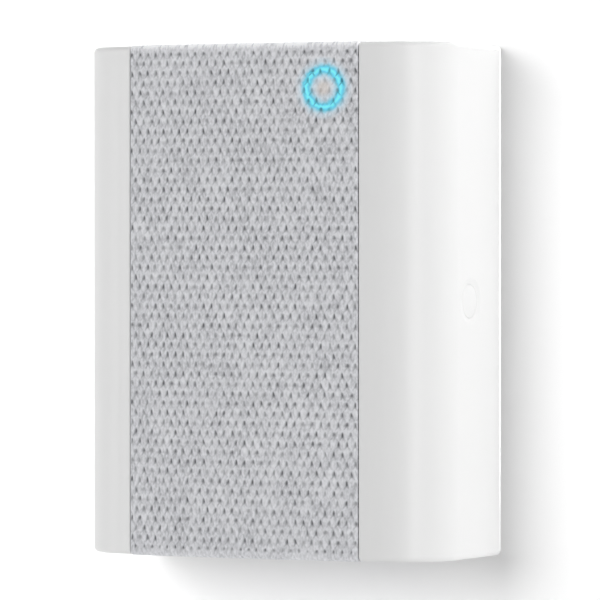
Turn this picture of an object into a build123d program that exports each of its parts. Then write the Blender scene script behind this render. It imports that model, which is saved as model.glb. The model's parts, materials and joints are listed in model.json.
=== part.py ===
"""Plug-in wall chime: a moulded box on two plug blades, with a fabric band, a ring light and a side button.

Millimetres. The origin lies on the wall face, midway between the two blades. +X is to the right seen from
the front, +Y points into the wall and +Z is up. A "level" is a distance in front of the wall, so it is -Y.
"""

import os
from math import sqrt

from build123d import *

# ---------------------------------------------------------------- body
width = 61.5
height = 78.0
depth = 25.0  # wall to the crown of the front
crown_radius = 250.0  # gentle bow of the front, seen from above
corner_radius = 8.2  # front rolling into each side
edge_radius = 0.8  # top, bottom and back outer edges
wall = 1.7
fusion = 0.3  # how far a post, boss or seat runs into the wall that carries it

# ---------------------------------------------------------------- fabric band and what lies under it
left_strip = 9.7  # plastic left of the band
right_strip = 12.6  # plastic right of the band
fabric_thickness = 0.7
fabric_proud = 0.1  # stands out past the plastic
fabric_tuck_level = 2.5  # where its flaps end on the top and bottom
seam_gap = 0.2  # shadow line each side of the fabric
seam_edge = 0.25  # rounded edge of the plastic along the seam
plate_thickness = 1.2
plate_gap = 0.05
floor_thickness = 1.2  # housing wall behind the plate
web = 1.2  # housing wall beside the channel
slot_size = (10.0, 1.4)  # sound slots in the plate
slot_pitch = (2.8, 12.0)
slot_count = (8, 2)
stake_radius = 1.0
stake_reach = 1.0  # past the back of the floor
stake_from_seam = 4.0
stake_from_top = 16.5
stake_from_bottom = 7.0

# ---------------------------------------------------------------- back and closing screws
cover_thickness = 1.8
cover_gap = 0.1
rim = 1.0  # housing rim that shows round the back cover
cover_corner = 1.6
lip_wall = 1.1
lip_depth = 2.5
lip_gap = 0.15
screw_radius = 1.1
screw_head_radius = 2.1
screw_head_height = 1.3
screw_length = 8.0
head_sink = 0.3
boss_wall = 1.7  # round the closing screw
boss_clearance = 0.15
pad_thickness = 1.2  # cover pad under each closing screw
thread_gap = 0.05
hole_gap = 0.35

# ---------------------------------------------------------------- plug
blade_width = 6.35
blade_thickness = 1.52
blade_pitch = 12.7
blade_reach = 17.0  # out of the wall face
blade_hole_radius = 1.6
blade_hole_from_face = 12.0
blade_tip_chamfer = 1.2
blade_shoulder_level = 4.0
blade_tail_width = 4.0
blade_tail_clearance = 2.0  # from its end to the power board
insert_size = (24.0, 14.0)
insert_corner = 4.0
insert_flange = 1.8
insert_flange_thickness = 1.4
insert_depth = 5.0
fit_gap = 0.05
contact_thickness = 0.4
contact_clearance = 0.4  # in front of the insert
contact_foot = 2.6

# ---------------------------------------------------------------- power board and what it carries on its back
power_board_size = (38.0, 50.0)
power_post_inset = (2.5, 3.0)  # from the board's edges
power_post_radius = 2.0
board_thickness = 1.0
board_corner = 1.2
board_spacing = 1.3  # between the two boards
part_gap = 0.05  # between a board and what is soldered on it
back_clearance = 0.5  # between the tallest part and the back cover
insulator_gap = 0.3
insulator_thickness = 0.2
transformer_size = (14.0, 6.2, 5.0)  # across, off the board, core along z
transformer_leg = 4.0
transformer_yoke = 1.4
bobbin_length = 11.0
bobbin_gap = 0.3  # to the core's outer legs
transformer_from_edges = (11.5, 9.0)  # centre, from the board's left and top edges
capacitor_sizes = ((3.15, 11.0), (2.5, 9.0), (2.5, 9.0))  # radius and length, the widest first
capacitor_places_x = (8.0, 10.5, 4.0)
capacitor_from_ends = (10.0, 8.5)  # the first from the board's top edge, and the rest from the bottom one
capacitor_chamfer = 0.4
fuse_size = (7.0, 3.6, 6.0)
fuse_from_edges = (8.5, 10.5)  # from the board's left and bottom edges
fuse_corner = 0.6
varistor_radius = 3.0
varistor_thickness = 2.8
varistor_chamfer = 0.8
varistor_from_edges = (16.0, 9.5)
link_size = (9.0, 3.4)
link_margin = 0.9  # clear strip round it in the insulator
link_from_edge = 5.5  # centre, from the board's right edge

# ---------------------------------------------------------------- main board and what it carries on its front
main_board_margin = (5.0, 3.4)  # from the body's sides and ends
main_post_inset = (5.2, 9.2)  # from the board's edges
main_post_radius = 2.0
small_screw_radius = 0.8
small_head_radius = 1.5
small_head_height = 0.9
small_screw_length = 4.5
shield_size = (20.0, 13.0, 2.0)
shield_wall = 0.25
shield_edge = 0.4
shield_from_edges = (18.2, 16.2)  # centre, from the board's left and top edges
chip_sizes = ((7.5, 7.5, 1.0), (6.0, 6.0, 1.0), (4.5, 5.0, 1.2))
chip_from_edge = 8.2  # centres, from the board's right edge
chip_places_z = (12.0, -13.5, -20.5)
antenna_length = 16.0
antenna_height = 4.5
antenna_leg = 1.1
antenna_wall = 0.4
top_antenna_from_edges = (16.7, 2.0)  # centre, from the board's left and top edges
side_antenna_from_edge = 3.0
side_antenna_z = 12.0
socket_size = (6.0, 4.0, 3.4)

# ---------------------------------------------------------------- ring light
ring_from_seam = 5.6  # centre, from the band's right side
ring_from_top = 6.9
ring_outer_radius = 3.65
ring_inner_radius = 2.05
ring_gap = 0.15
shroud_wall = 0.8
led_size = 1.2
led_height = 0.6
led_count = 4
led_gap = 0.3  # between the lamps and the light guide

# ---------------------------------------------------------------- side button
cap_radius = 2.42
cap_dome = 0.35
cap_sink = 0.12  # top of the dome below the body's side
cap_gap = 0.15
dish_margin = 1.13  # from the cap's edge to the dish's
dish_depth = 0.42
button_travel = 0.4
flange_lip = 0.9  # past the cap's edge, behind the wall
flange_thickness = 0.7
stem_size = (2.2, 0.8)
switch_size = (4.6, 6.0, 3.2)  # across the board, along its edge, through it
switch_tab_width = 2.6
switch_tab_reach = 0.9  # onto the board on each side of its notch
switch_tab_thickness = 0.3
switch_inset = 1.5  # from the board's right edge
plunger_radius = 0.8
plunger_reach = 1.0
plunger_inside = 1.2
plunger_gap = 0.08
plunger_end_gap = 0.25  # behind the plunger when it is pressed

# ---------------------------------------------------------------- speaker
speaker_from_bottom = 30.0
speaker_flange = 30.0
speaker_flange_corner = 4.0
speaker_flange_thickness = 0.9
speaker_screw_inset = 2.4  # from the flange's edges
speaker_screw_length = 2.8
hole_end = 0.2  # left below a speaker screw
speaker_depth = 7.2  # flange front to the back of the yoke
seat_margin = 0.5
gasket_thickness = 0.7
mouth_margin = 1.5  # from the mouth to the flange's sides
cage_wall = 0.8
cage_step = 1.1  # from the yoke to the cage's slanted wall
cage_grip = 0.9  # how far the yoke's front stands inside the cage
cage_windows = 4
cage_window_width = 7.0
cage_window_margin = 0.6
magnet_radius = 5.4
magnet_thickness = 2.0
top_plate_lip = 0.1  # past the magnet
top_plate_thickness = 1.0
coil_gap = 0.22  # each side of the voice coil
coil_wall = 0.35
coil_length = 3.4
coil_floor_gap = 1.0
yoke_wall = 1.4
yoke_base = 1.0
yoke_lip = 0.2  # past the top plate
yoke_chamfer = 0.3
cone_wall = 0.3
dust_cap_rise = 1.1
surround_width = 2.0
surround_wall = 0.25
surround_gap = 0.1  # to the cone's edge
surround_skirt = 0.7  # glued over the cone's edge
lead_diameter = 0.7
lead_pitch = 2.0
lead_from_flange_edge = 0.8
lead_run = 5.0

# ---------------------------------------------------------------- worked out from the sizes above
band_left = left_strip - width / 2
band_right = width / 2 - right_strip
band_middle = (band_left + band_right) / 2
band_width = band_right - band_left
fabric_inset = fabric_thickness - fabric_proud
plate_inset = fabric_inset + plate_gap
channel_inset = plate_inset + plate_thickness + plate_gap
floor_inset = channel_inset + floor_thickness
stake_x = band_width / 2 - stake_from_seam
stake_spots = [
    (band_middle + side * stake_x, z)
    for side in (-1, 1)
    for z in (height / 2 - stake_from_top, stake_from_bottom - height / 2)
]

boss_radius = screw_radius + boss_wall
boss_inset = wall + lip_gap + lip_wall + boss_clearance + boss_radius
boss_x = width / 2 - max(boss_inset, corner_radius)
boss_z = height / 2 - boss_inset
boss_level = cover_thickness + pad_thickness
boss_notch = 2 * (boss_radius + 2 * hole_gap)  # corner cut out of the main board
head_level = head_sink + screw_head_height
cover_size = (width - 2 * (rim + cover_gap), height - 2 * (rim + cover_gap))

power_board_level = cover_thickness + back_clearance + 2 * capacitor_sizes[0][0] + part_gap
power_front = power_board_level + board_thickness
power_right = power_board_size[0] / 2
power_top = power_board_size[1] / 2
power_post_pitch = (2 * (power_right - power_post_inset[0]), 2 * (power_top - power_post_inset[1]))
blade_tail_level = power_board_level - blade_tail_clearance
contact_start_level = insert_depth + contact_clearance
link_place = (power_right - link_from_edge, 0.0)

main_board_level = power_front + board_spacing
main_front = main_board_level + board_thickness
board_right = width / 2 - main_board_margin[0]
board_top = height / 2 - main_board_margin[1]
main_post_pitch = (2 * (board_right - main_post_inset[0]), 2 * (board_top - main_post_inset[1]))
ring_centre = (band_right - ring_from_seam, height / 2 - ring_from_top)
button_level = (main_board_level + main_front) / 2
switch_edge = board_right - switch_inset
dish_radius = cap_radius + dish_margin
flange_radius = cap_radius + flange_lip

speaker_x = band_middle
speaker_z = speaker_from_bottom - height / 2
mouth_radius = speaker_flange / 2 - mouth_margin
seat_reach = speaker_flange / 2 + seat_margin
coil_inner_radius = magnet_radius + top_plate_lip + coil_gap
coil_outer_radius = coil_inner_radius + coil_wall
yoke_bore = coil_outer_radius + coil_gap
yoke_radius = yoke_bore + yoke_wall
yoke_depth = yoke_base + magnet_thickness + top_plate_thickness + yoke_lip
cage_rear_radius = yoke_radius + cage_step
roll_outer = mouth_radius - cage_wall
roll_inner = roll_outer - surround_width
cone_outer_radius = roll_inner - surround_gap


def front_level(x, inset=0.0):
    """Distance from the wall to the front at x, on the bow or on a corner's roll, taken in by inset."""
    roll_x = width / 2 - corner_radius
    bow_share = (crown_radius - inset) / (crown_radius - corner_radius)
    if abs(x) <= roll_x * bow_share:
        level = sqrt((crown_radius - inset) ** 2 - x**2)
    else:
        level = sqrt((crown_radius - corner_radius) ** 2 - roll_x**2)
        level += sqrt((corner_radius - inset) ** 2 - (abs(x) - roll_x) ** 2)
    return level - (crown_radius - depth)


seat_level = front_level(abs(speaker_x) + seat_reach, floor_inset) - fusion
flange_front = seat_level - gasket_thickness
flange_back = flange_front - speaker_flange_thickness
yoke_back = flange_front - speaker_depth
yoke_front = yoke_back + yoke_depth
coil_back = yoke_back + yoke_base + coil_floor_gap
coil_front = coil_back + coil_length
lead_z = speaker_z - speaker_flange / 2 + lead_from_flange_edge
lead_level = main_front + part_gap + socket_size[2] / 2
socket_place = (speaker_x, lead_z - lead_run - socket_size[1] / 2)


def plan(inset):
    """Outline of the body seen from above, taken in by inset at the sides and the front."""
    with BuildSketch(mode=Mode.PRIVATE) as outline:
        Rectangle(width - 2 * inset, 2 * depth, align=(Align.CENTER, Align.MAX))
        with Locations((0, crown_radius - depth)):
            Circle(crown_radius - inset, mode=Mode.INTERSECT)
        fillet(outline.vertices().group_by(Axis.Y)[0], corner_radius - inset)
    return outline.sketch


def band(margin, front, back=None):
    """Seen from above, the band's strip between two insets of the body, or all of it behind the first."""
    with BuildSketch(mode=Mode.PRIVATE) as strip:
        with Locations((band_middle, 0)):
            Rectangle(band_width + 2 * margin, 2 * depth, align=(Align.CENTER, Align.MAX))
        add(plan(front), mode=Mode.INTERSECT)
        if back is not None:
            add(plan(back), mode=Mode.SUBTRACT)
    return strip.sketch


def at_level(level):
    """A sketch plane across the body, facing the front, with x to the right and y up."""
    return Plane.XZ.offset(level)


def seen_from_above(z):
    return Plane.XY.offset(z)


def is_seam_side(face):
    """Whether a face is one of the two upright sides of the band's channel."""
    return min(abs(face.center().X - band_left), abs(face.center().X - band_right)) < seam_gap


speaker_axis = Axis((speaker_x, 0, speaker_z), (0, 1, 0))
speaker_section = Plane(origin=(speaker_x, 0, speaker_z), x_dir=(1, 0, 0), z_dir=(0, 0, -1))
button_axis = Axis((0, -button_level, 0), (1, 0, 0))
button_section = Plane(origin=(0, -button_level, 0), x_dir=(1, 0, 0), z_dir=(0, -1, 0))
boss_places = GridLocations(2 * boss_x, 2 * boss_z, 2, 2)
power_posts = GridLocations(*power_post_pitch, 2, 2)
main_posts = GridLocations(*main_post_pitch, 2, 2)
screw_offset = speaker_flange / 2 - speaker_screw_inset
speaker_screw_places = Locations(
    (speaker_x - screw_offset, speaker_z - screw_offset),
    (speaker_x - screw_offset, speaker_z + screw_offset),
    (speaker_x + screw_offset, speaker_z - screw_offset),
    (speaker_x + screw_offset, speaker_z + screw_offset),
)
os.makedirs("parts", exist_ok=True)


def keep(piece, name):
    """Labels a finished piece and writes its file."""
    piece.part.label = name
    export_step(piece.part, f"parts/{name}.step")


# ================================================================ housing
with BuildPart() as front_housing:
    with BuildSketch(seen_from_above(-height / 2)):
        add(plan(0))
    extrude(amount=height)
    ends = front_housing.faces().filter_by(Plane.XY).edges()
    back_sides = front_housing.edges().filter_by(Axis.Z).group_by(Axis.Y)[-1]
    fillet(ends + back_sides, edge_radius)
    with BuildSketch(seen_from_above(wall - height / 2)):
        add(plan(wall))
    extrude(amount=height - 2 * wall, mode=Mode.SUBTRACT)
    with BuildSketch(Plane.XZ):
        RectangleRounded(cover_size[0] + 2 * cover_gap, cover_size[1] + 2 * cover_gap, cover_corner)
    extrude(amount=cover_thickness, mode=Mode.SUBTRACT)
    # channel tray, speaker seat, screw bosses and board posts, then the channel that trims them all
    with BuildSketch(seen_from_above(wall - height / 2)):
        add(band(web, 0, floor_inset))
    extrude(amount=height - 2 * wall)
    with BuildSketch(at_level(seat_level)):
        with Locations((speaker_x, speaker_z)):
            RectangleRounded(2 * seat_reach, 2 * seat_reach, speaker_flange_corner)
    extrude(amount=depth - channel_inset - seat_level)
    with BuildSketch(at_level(boss_level)):
        with boss_places:
            Circle(boss_radius)
    extrude(amount=front_level(boss_x, wall) - boss_level)
    for x in (-main_post_pitch[0] / 2, main_post_pitch[0] / 2):
        behind_tray = band_left - web < x < band_right + web
        with BuildSketch(at_level(main_front)):
            with Locations((x, -main_post_pitch[1] / 2), (x, main_post_pitch[1] / 2)):
                Circle(main_post_radius)
        extrude(amount=front_level(abs(x), floor_inset if behind_tray else wall) + fusion - main_front)
    with BuildSketch(seen_from_above(-height)):
        with Locations((band_middle, 0)):
            Rectangle(band_width, 2 * depth, align=(Align.CENTER, Align.MAX))
        add(plan(channel_inset), mode=Mode.SUBTRACT)
    extrude(amount=2 * height, mode=Mode.SUBTRACT)
    with BuildSketch(at_level(fabric_tuck_level)):
        with Locations((band_middle, height / 2), (band_middle, -height / 2)):
            Rectangle(band_width, 2 * (fabric_inset + plate_gap))
    extrude(amount=depth, mode=Mode.SUBTRACT)
    for side in front_housing.faces().filter_by(Axis.X).filter_by(is_seam_side):
        upright = side.edges().filter_by(Axis.Z)
        around = (side.edges() - upright).filter_by(lambda edge: abs(edge.center().Z) > height / 2 - plate_inset)
        fillet([upright.sort_by(Axis.Y)[0]] + around, seam_edge)
    # sound mouth, ring light hole and stake holes through the floor
    with BuildSketch(at_level(seat_level - fusion)):
        with Locations((speaker_x, speaker_z)):
            Circle(mouth_radius)
        with Locations(ring_centre):
            Circle(ring_outer_radius + ring_gap)
        with Locations(*stake_spots):
            Circle(stake_radius + fit_gap)
    extrude(amount=depth, mode=Mode.SUBTRACT)
    # screw holes
    with BuildSketch(at_level(boss_level)):
        with boss_places:
            Circle(screw_radius + thread_gap)
    extrude(amount=screw_length, mode=Mode.SUBTRACT)
    with BuildSketch(at_level(main_front)):
        with main_posts:
            Circle(small_screw_radius + thread_gap)
    extrude(amount=small_screw_length, mode=Mode.SUBTRACT)
    with BuildSketch(at_level(seat_level)):
        with speaker_screw_places:
            Circle(small_screw_radius + thread_gap)
    extrude(amount=speaker_screw_length - (seat_level - flange_back) + hole_end, mode=Mode.SUBTRACT)
    # dished hole for the side button
    dish_sphere = (dish_radius**2 + dish_depth**2) / (2 * dish_depth)
    with Locations((width / 2 - dish_depth + dish_sphere, -button_level, 0)):
        Sphere(dish_sphere, mode=Mode.SUBTRACT)
    with BuildSketch(Plane.YZ.offset(width / 2 - 2 * wall)):
        with Locations((-button_level, 0)):
            Circle(cap_radius + cap_gap)
    extrude(amount=3 * wall, mode=Mode.SUBTRACT)
keep(front_housing, "front_housing")

# ================================================================ back cover and closing screws
with BuildPart() as rear_cover:
    with BuildSketch(Plane.XZ):
        RectangleRounded(*cover_size, cover_corner - cover_gap)
    extrude(amount=cover_thickness)
    with BuildSketch(at_level(cover_thickness)):
        Rectangle(width - 2 * (wall + lip_gap), height - 2 * (wall + lip_gap))
        offset(amount=-lip_wall, kind=Kind.INTERSECTION, mode=Mode.SUBTRACT)
    extrude(amount=lip_depth)
    with BuildSketch(at_level(cover_thickness)):
        with boss_places:
            Circle(boss_radius)
    extrude(amount=pad_thickness)
    with BuildSketch(at_level(cover_thickness)):
        with power_posts:
            Circle(power_post_radius)
    extrude(amount=power_board_level - cover_thickness)
    with BuildSketch(Plane.XZ):
        insert_hole = (insert_size[0] + 2 * cover_gap, insert_size[1] + 2 * cover_gap)
        RectangleRounded(*insert_hole, insert_corner + cover_gap)
    extrude(amount=cover_thickness, mode=Mode.SUBTRACT)
    with BuildSketch(Plane.XZ):
        with boss_places:
            Circle(screw_head_radius + hole_gap)
    extrude(amount=screw_head_height + head_sink, mode=Mode.SUBTRACT)
    with BuildSketch(Plane.XZ):
        with boss_places:
            Circle(screw_radius + hole_gap)
    extrude(amount=boss_level, mode=Mode.SUBTRACT)
    with BuildSketch(at_level(power_board_level)):
        with power_posts:
            Circle(small_screw_radius + thread_gap)
    extrude(amount=-small_screw_length, mode=Mode.SUBTRACT)
keep(rear_cover, "rear_cover")


with BuildPart() as housing_screws:
    with BuildSketch(at_level(head_level)):
        with boss_places:
            Circle(screw_head_radius)
    extrude(amount=-screw_head_height)
    chamfer(housing_screws.faces().filter_by(Plane.XZ).group_by(Axis.Y)[-1].edges(), screw_head_height / 3)
    with BuildSketch(at_level(head_level)):
        with boss_places:
            Circle(screw_radius)
    extrude(amount=screw_length)
keep(housing_screws, "housing_screws")


def small_screws(places, head_level, length, name, way=1):
    """Small screws. The shanks run on from head_level to the front or, with way -1, to the back."""
    with BuildPart() as group:
        with BuildSketch(at_level(head_level)):
            with places:
                Circle(small_head_radius)
        extrude(amount=-way * small_head_height)
        with BuildSketch(at_level(head_level)):
            with places:
                Circle(small_screw_radius)
        extrude(amount=way * length)
    keep(group, name)


# ================================================================ plug
with BuildPart() as plug_blades:
    with BuildSketch(Plane.YZ.offset(-blade_thickness / 2)) as blade_side:
        with Locations((-blade_shoulder_level, 0)):
            Rectangle(blade_shoulder_level + blade_reach, blade_width, align=(Align.MIN, Align.CENTER))
        chamfer(blade_side.vertices().group_by(Axis.X)[-1], blade_tip_chamfer)
        with Locations((-blade_tail_level, 0)):
            Rectangle(blade_tail_level, blade_tail_width, align=(Align.MIN, Align.CENTER))
        with Locations((blade_hole_from_face, 0)):
            Circle(blade_hole_radius, mode=Mode.SUBTRACT)
    with Locations((-blade_pitch / 2, 0, 0), (blade_pitch / 2, 0, 0)):
        add(extrude(blade_side.sketch, amount=blade_thickness, dir=(1, 0, 0), mode=Mode.PRIVATE))
keep(plug_blades, "plug_blades")

with BuildPart() as plug_insert:
    with BuildSketch(Plane.XZ):
        RectangleRounded(*insert_size, insert_corner)
    extrude(amount=insert_depth)
    with BuildSketch(at_level(cover_thickness + fit_gap)):
        flange_size = (insert_size[0] + 2 * insert_flange, insert_size[1] + 2 * insert_flange)
        RectangleRounded(*flange_size, insert_corner)
    extrude(amount=insert_flange_thickness)
    with BuildSketch(Plane.XZ):
        with GridLocations(blade_pitch, 0, 2, 1):
            Rectangle(blade_thickness + 2 * fit_gap, blade_width + 2 * fit_gap)
    extrude(amount=insert_depth, mode=Mode.SUBTRACT)
keep(plug_insert, "plug_insert")

with BuildPart() as blade_contacts:
    blade_outer = (blade_pitch + blade_thickness) / 2
    with BuildSketch(seen_from_above(-blade_tail_width / 2)):
        with BuildLine():
            Polyline(
                (blade_outer + contact_thickness / 2, -contact_start_level),
                (blade_outer + contact_thickness / 2, contact_thickness / 2 - power_board_level),
                (blade_outer + contact_foot, contact_thickness / 2 - power_board_level),
            )
        trace(line_width=contact_thickness)
    extrude(amount=blade_tail_width)
    mirror(about=Plane.YZ)
keep(blade_contacts, "blade_contacts")

# ================================================================ power board
with BuildPart() as power_board:
    with BuildSketch(at_level(power_board_level)):
        RectangleRounded(*power_board_size, board_corner)
        with power_posts:
            Circle(small_screw_radius + 2 * thread_gap, mode=Mode.SUBTRACT)
    extrude(amount=board_thickness)
keep(power_board, "power_board")

small_screws(power_posts, power_front, small_screw_length, "power_board_screws", way=-1)

with BuildPart() as power_insulator:
    with BuildSketch(at_level(power_front + insulator_gap)):
        Rectangle(*power_board_size)
        with power_posts:
            Circle(small_head_radius + hole_gap, mode=Mode.SUBTRACT)
        with Locations(link_place):
            Rectangle(link_size[0] + 2 * link_margin, link_size[1] + 2 * link_margin, mode=Mode.SUBTRACT)
    extrude(amount=insulator_thickness)
keep(power_insulator, "power_insulator")

across, off_board, core_run = transformer_size
window = ((across - transformer_leg) / 2 - transformer_yoke, off_board - 2 * transformer_yoke)
transformer_middle = (transformer_from_edges[0] - power_right, off_board / 2 + part_gap - power_board_level)
transformer_z = power_top - transformer_from_edges[1]

with BuildPart() as transformer_core:
    with BuildSketch(seen_from_above(transformer_z - core_run / 2)):
        with Locations(transformer_middle):
            Rectangle(across, off_board)
            with GridLocations(transformer_leg + window[0], 0, 2, 1):
                Rectangle(*window, mode=Mode.SUBTRACT)
    extrude(amount=core_run)
keep(transformer_core, "transformer_core")

with BuildPart() as transformer_coil:
    with BuildSketch(seen_from_above(transformer_z - bobbin_length / 2)):
        with Locations(transformer_middle):
            bobbin = (transformer_leg + 2 * (window[0] - bobbin_gap), window[1] - 2 * fit_gap)
            RectangleRounded(*bobbin, window[0] / 4)
    extrude(amount=bobbin_length)
    with BuildSketch(seen_from_above(transformer_z - core_run / 2 - fit_gap)):
        with Locations(transformer_middle):
            Rectangle(transformer_leg + 2 * fit_gap, off_board)
    extrude(amount=core_run + 2 * fit_gap, mode=Mode.SUBTRACT)
keep(transformer_coil, "transformer_coil")

first_z = power_top - capacitor_from_ends[0]
rest_z = capacitor_from_ends[1] - power_top
with BuildPart() as capacitors:
    for (radius, length), x, z in zip(capacitor_sizes, capacitor_places_x, (first_z, rest_z, rest_z)):
        with BuildSketch(seen_from_above(z - length / 2)):
            with Locations((x, radius + part_gap - power_board_level)):
                Circle(radius)
        extrude(amount=length)
    chamfer(capacitors.edges().filter_by(GeomType.CIRCLE), capacitor_chamfer)
keep(capacitors, "capacitors")

with BuildPart() as fuse:
    with BuildSketch(at_level(power_board_level - part_gap)):
        with Locations((fuse_from_edges[0] - power_right, fuse_from_edges[1] - power_top)):
            RectangleRounded(fuse_size[0], fuse_size[1], fuse_corner)
    extrude(amount=-fuse_size[2])
keep(fuse, "fuse")

with BuildPart() as varistor:
    with BuildSketch(Plane.YZ.offset(varistor_from_edges[0] - power_right - varistor_thickness / 2)):
        with Locations((varistor_radius + part_gap - power_board_level, varistor_from_edges[1] - power_top)):
            Circle(varistor_radius)
    extrude(amount=varistor_thickness)
    chamfer(varistor.edges().filter_by(GeomType.CIRCLE), varistor_chamfer)
keep(varistor, "varistor")

with BuildPart() as link_connector:
    with BuildSketch(at_level(power_front + part_gap)):
        with Locations(link_place):
            Rectangle(*link_size)
    extrude(amount=main_board_level - power_front - 2 * part_gap)
keep(link_connector, "link_connector")

# ================================================================ main board
with BuildPart() as main_board:
    with BuildSketch(at_level(main_board_level)):
        RectangleRounded(2 * board_right, 2 * board_top, board_corner)
        with boss_places:
            Rectangle(boss_notch, boss_notch, mode=Mode.SUBTRACT)
        with main_posts:
            Circle(small_screw_radius + 2 * thread_gap, mode=Mode.SUBTRACT)
        with Locations((board_right, 0)):
            notch_depth = switch_inset + switch_size[0] + part_gap
            Rectangle(2 * notch_depth, switch_size[1] + 2 * part_gap, mode=Mode.SUBTRACT)
    extrude(amount=board_thickness)
keep(main_board, "main_board")

small_screws(main_posts, main_board_level, small_screw_length, "board_screws")

with BuildPart() as board_shield:
    with BuildSketch(at_level(main_front + part_gap)):
        with Locations((shield_from_edges[0] - board_right, board_top - shield_from_edges[1])):
            Rectangle(shield_size[0], shield_size[1])
    extrude(amount=shield_size[2])
    fillet(board_shield.faces().sort_by(Axis.Y)[0].edges(), shield_edge)
    offset(amount=-shield_wall, openings=board_shield.faces().sort_by(Axis.Y)[-1])
keep(board_shield, "board_shield")

with BuildPart() as board_chips:
    for (chip_width, chip_height, chip_thickness), z in zip(chip_sizes, chip_places_z):
        with BuildSketch(at_level(main_front + part_gap)):
            with Locations((board_right - chip_from_edge, z)):
                Rectangle(chip_width, chip_height)
        extrude(amount=chip_thickness)
keep(board_chips, "board_chips")

top_antenna = (top_antenna_from_edges[0] - board_right, board_top - top_antenna_from_edges[1])
side_antenna = (side_antenna_from_edge - board_right, side_antenna_z)
with BuildPart() as antennas:
    for turn, (x, z) in ((0, top_antenna), (90, side_antenna)):
        stand = Plane(origin=(x, -(main_front + part_gap), z), z_dir=(0, 0, 1), x_dir=(1, 0, 0))
        with BuildSketch(stand.rotated((0, turn, 0)).offset(-antenna_wall / 2)):
            with Locations((0, -antenna_height + antenna_leg / 2)):
                Rectangle(antenna_length, antenna_leg)
            for leg in (-antenna_length / 2 + antenna_leg / 2, -antenna_length / 4):
                with Locations((leg, -antenna_height / 2)):
                    Rectangle(antenna_leg, antenna_height)
        extrude(amount=antenna_wall)
keep(antennas, "antennas")

with BuildPart() as speaker_socket:
    with BuildSketch(at_level(main_front + part_gap)):
        with Locations(socket_place):
            Rectangle(socket_size[0], socket_size[1])
    extrude(amount=socket_size[2])
keep(speaker_socket, "speaker_socket")

# ================================================================ side button and its switch
with BuildPart() as switch_body:
    with BuildSketch(at_level(button_level)):
        with Locations((switch_edge - switch_size[0] / 2, 0)):
            Rectangle(switch_size[0], switch_size[1])
    extrude(amount=switch_size[2] / 2, both=True)
    with BuildSketch(at_level(main_front + part_gap)):
        with Locations((switch_edge - switch_size[0] / 2, 0)):
            Rectangle(switch_tab_width, switch_size[1] + 2 * switch_tab_reach)
    extrude(amount=switch_tab_thickness)
    with BuildSketch(Plane.YZ.offset(switch_edge)):
        with Locations((-button_level, 0)):
            Circle(plunger_radius + plunger_gap)
    extrude(amount=-(plunger_inside + button_travel + plunger_end_gap), mode=Mode.SUBTRACT)
keep(switch_body, "switch_body")

with BuildPart() as switch_plunger:
    with BuildSketch(Plane.YZ.offset(switch_edge - plunger_inside)):
        with Locations((-button_level, 0)):
            Circle(plunger_radius)
    extrude(amount=plunger_inside + plunger_reach)
keep(switch_plunger, "switch_plunger")

with BuildPart() as side_button:
    flange_front_x = width / 2 - wall - fit_gap
    cap_face = width / 2 - cap_sink
    dome_radius = (cap_radius**2 + cap_dome**2) / (2 * cap_dome)
    with BuildSketch(button_section):
        with BuildLine():
            rim_corner = (cap_face - cap_dome, cap_radius)
            Polyline(
                (cap_face, 0),
                (flange_front_x - flange_thickness, 0),
                (flange_front_x - flange_thickness, flange_radius),
                (flange_front_x, flange_radius),
                (flange_front_x, cap_radius),
                rim_corner,
            )
            RadiusArc(rim_corner, (cap_face, 0), dome_radius)
        make_face()
    revolve(axis=button_axis)
    with BuildSketch(Plane.YZ.offset(switch_edge + plunger_reach)):
        with Locations((-button_level, 0)):
            Rectangle(*stem_size)
            Rectangle(*reversed(stem_size))
    extrude(amount=flange_front_x - flange_thickness - switch_edge - plunger_reach)
keep(side_button, "side_button")

# ================================================================ ring light
with BuildPart() as light_guide:
    guide_back = main_front + led_height + led_gap
    with BuildSketch(at_level(guide_back)):
        with Locations(ring_centre):
            Circle(ring_outer_radius)
            Circle(ring_inner_radius, mode=Mode.SUBTRACT)
    guide_front = front_level(ring_centre[0] + ring_outer_radius, plate_inset)
    extrude(amount=guide_front - guide_back)
keep(light_guide, "light_guide")

with BuildPart() as light_shroud:
    with BuildSketch(at_level(main_front + part_gap)):
        with Locations(ring_centre):
            Circle(ring_outer_radius + ring_gap + shroud_wall)
            Circle(ring_outer_radius + ring_gap, mode=Mode.SUBTRACT)
    shroud_front = front_level(ring_centre[0] + ring_outer_radius + ring_gap + shroud_wall, floor_inset)
    extrude(amount=shroud_front - main_front - 2 * part_gap)
keep(light_shroud, "light_shroud")

with BuildPart() as leds:
    with BuildSketch(at_level(main_front + part_gap)):
        with Locations(ring_centre):
            with PolarLocations((ring_outer_radius + ring_inner_radius) / 2, led_count):
                Rectangle(led_size, led_size)
    extrude(amount=led_height)
keep(leds, "leds")

# ================================================================ fabric band
with BuildPart() as grille_plate:
    with BuildSketch(seen_from_above(-height / 2 + fabric_inset + plate_gap)):
        add(band(-seam_gap, plate_inset, plate_inset + plate_thickness))
    extrude(amount=height - 2 * (fabric_inset + plate_gap))
    with BuildSketch(at_level(depth / 2)):
        with Locations((speaker_x, speaker_z)):
            with GridLocations(*slot_pitch, *slot_count):
                Rectangle(*reversed(slot_size))
        with Locations(ring_centre):
            Circle(ring_outer_radius + ring_gap)
    extrude(amount=depth, mode=Mode.SUBTRACT)
    for x, z in stake_spots:
        stake_front = front_level(abs(x) + stake_radius, plate_inset) - fusion
        stake_back = front_level(abs(x), floor_inset) - stake_reach
        with BuildSketch(at_level(stake_front)):
            with Locations((x, z)):
                Circle(stake_radius)
        extrude(amount=stake_back - stake_front)
keep(grille_plate, "grille_plate")

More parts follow.
